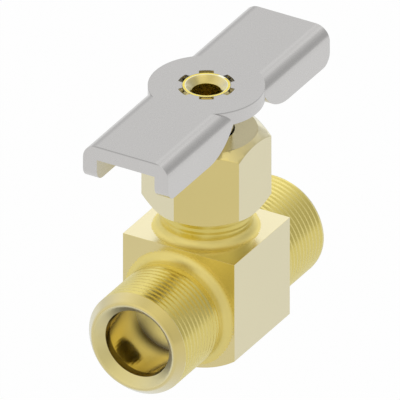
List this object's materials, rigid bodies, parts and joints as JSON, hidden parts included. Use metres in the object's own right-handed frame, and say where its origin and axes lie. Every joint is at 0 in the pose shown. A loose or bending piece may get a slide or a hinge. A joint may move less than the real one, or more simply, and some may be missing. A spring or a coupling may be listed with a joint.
{
  "type": "shut-off valve",
  "caption": "In-line quarter-turn brass shut-off valve: threaded ends with tube sockets, a hexagon bonnet nut over the stem packing, and a grey channel lever that turns a ball.",
  "frame": {"origin": "the point where the flow line and the stem's axis cross, at the centre of the ball", "axes": "+Y along the flow line, from the front port to the rear port; +Z along the stem, from the ball to the lever; +X to the right of somebody who looks along +Y"},
  "size_m": [0.029, 0.0728, 0.0663],
  "materials": {
    "body_brass": "machined, satin",
    "nut_brass": "machined, satin",
    "stem_brass": "turned, satin",
    "inner_brass": "turned",
    "lever_metal": "zinc plated, matte",
    "plated_ball": "polished",
    "spring_steel": "bright",
    "seat_plastic": "smooth",
    "filled_plastic": "smooth",
    "wiper_rubber": "smooth"
  },
  "bodies": {
    "housing": {"valve_body": "body_brass", "seat_front": "seat_plastic", "seat_rear": "seat_plastic", "seat_follower": "inner_brass", "lower_bearing_washer": "filled_plastic", "upper_bearing_washer": "filled_plastic", "packing_base_ring": "filled_plastic", "packing_chevron_lower": "seat_plastic", "packing_chevron_middle": "seat_plastic", "packing_chevron_upper": "seat_plastic", "packing_cap_ring": "filled_plastic", "gland": "inner_brass", "stop_pin": "spring_steel", "disc_spring_lower": "spring_steel", "disc_spring_upper": "spring_steel", "slip_washer": "filled_plastic", "wiper_ring": "wiper_rubber", "bonnet_nut": "nut_brass"},
    "stem_and_lever": {"stem": "stem_brass", "lever": "lever_metal"},
    "ball": {"ball": "plated_ball"}
  },
  "joints": [
    {"name": "lever_turn", "type": "hinge", "parent": "housing", "child": "stem_and_lever", "pos_m": [0, 0, 0.03], "axis": [0, 0, 1], "range_deg": [-90, 0]},
    {"name": "ball_turn", "type": "hinge", "parent": "housing", "child": "ball", "pos_m": [0, 0, 0], "axis": [0, 0, 1], "range_deg": [-90, 0]}
  ],
  "couplings": [
    {"joint": "ball_turn", "follows": "lever_turn", "ratio": 1}
  ]
}
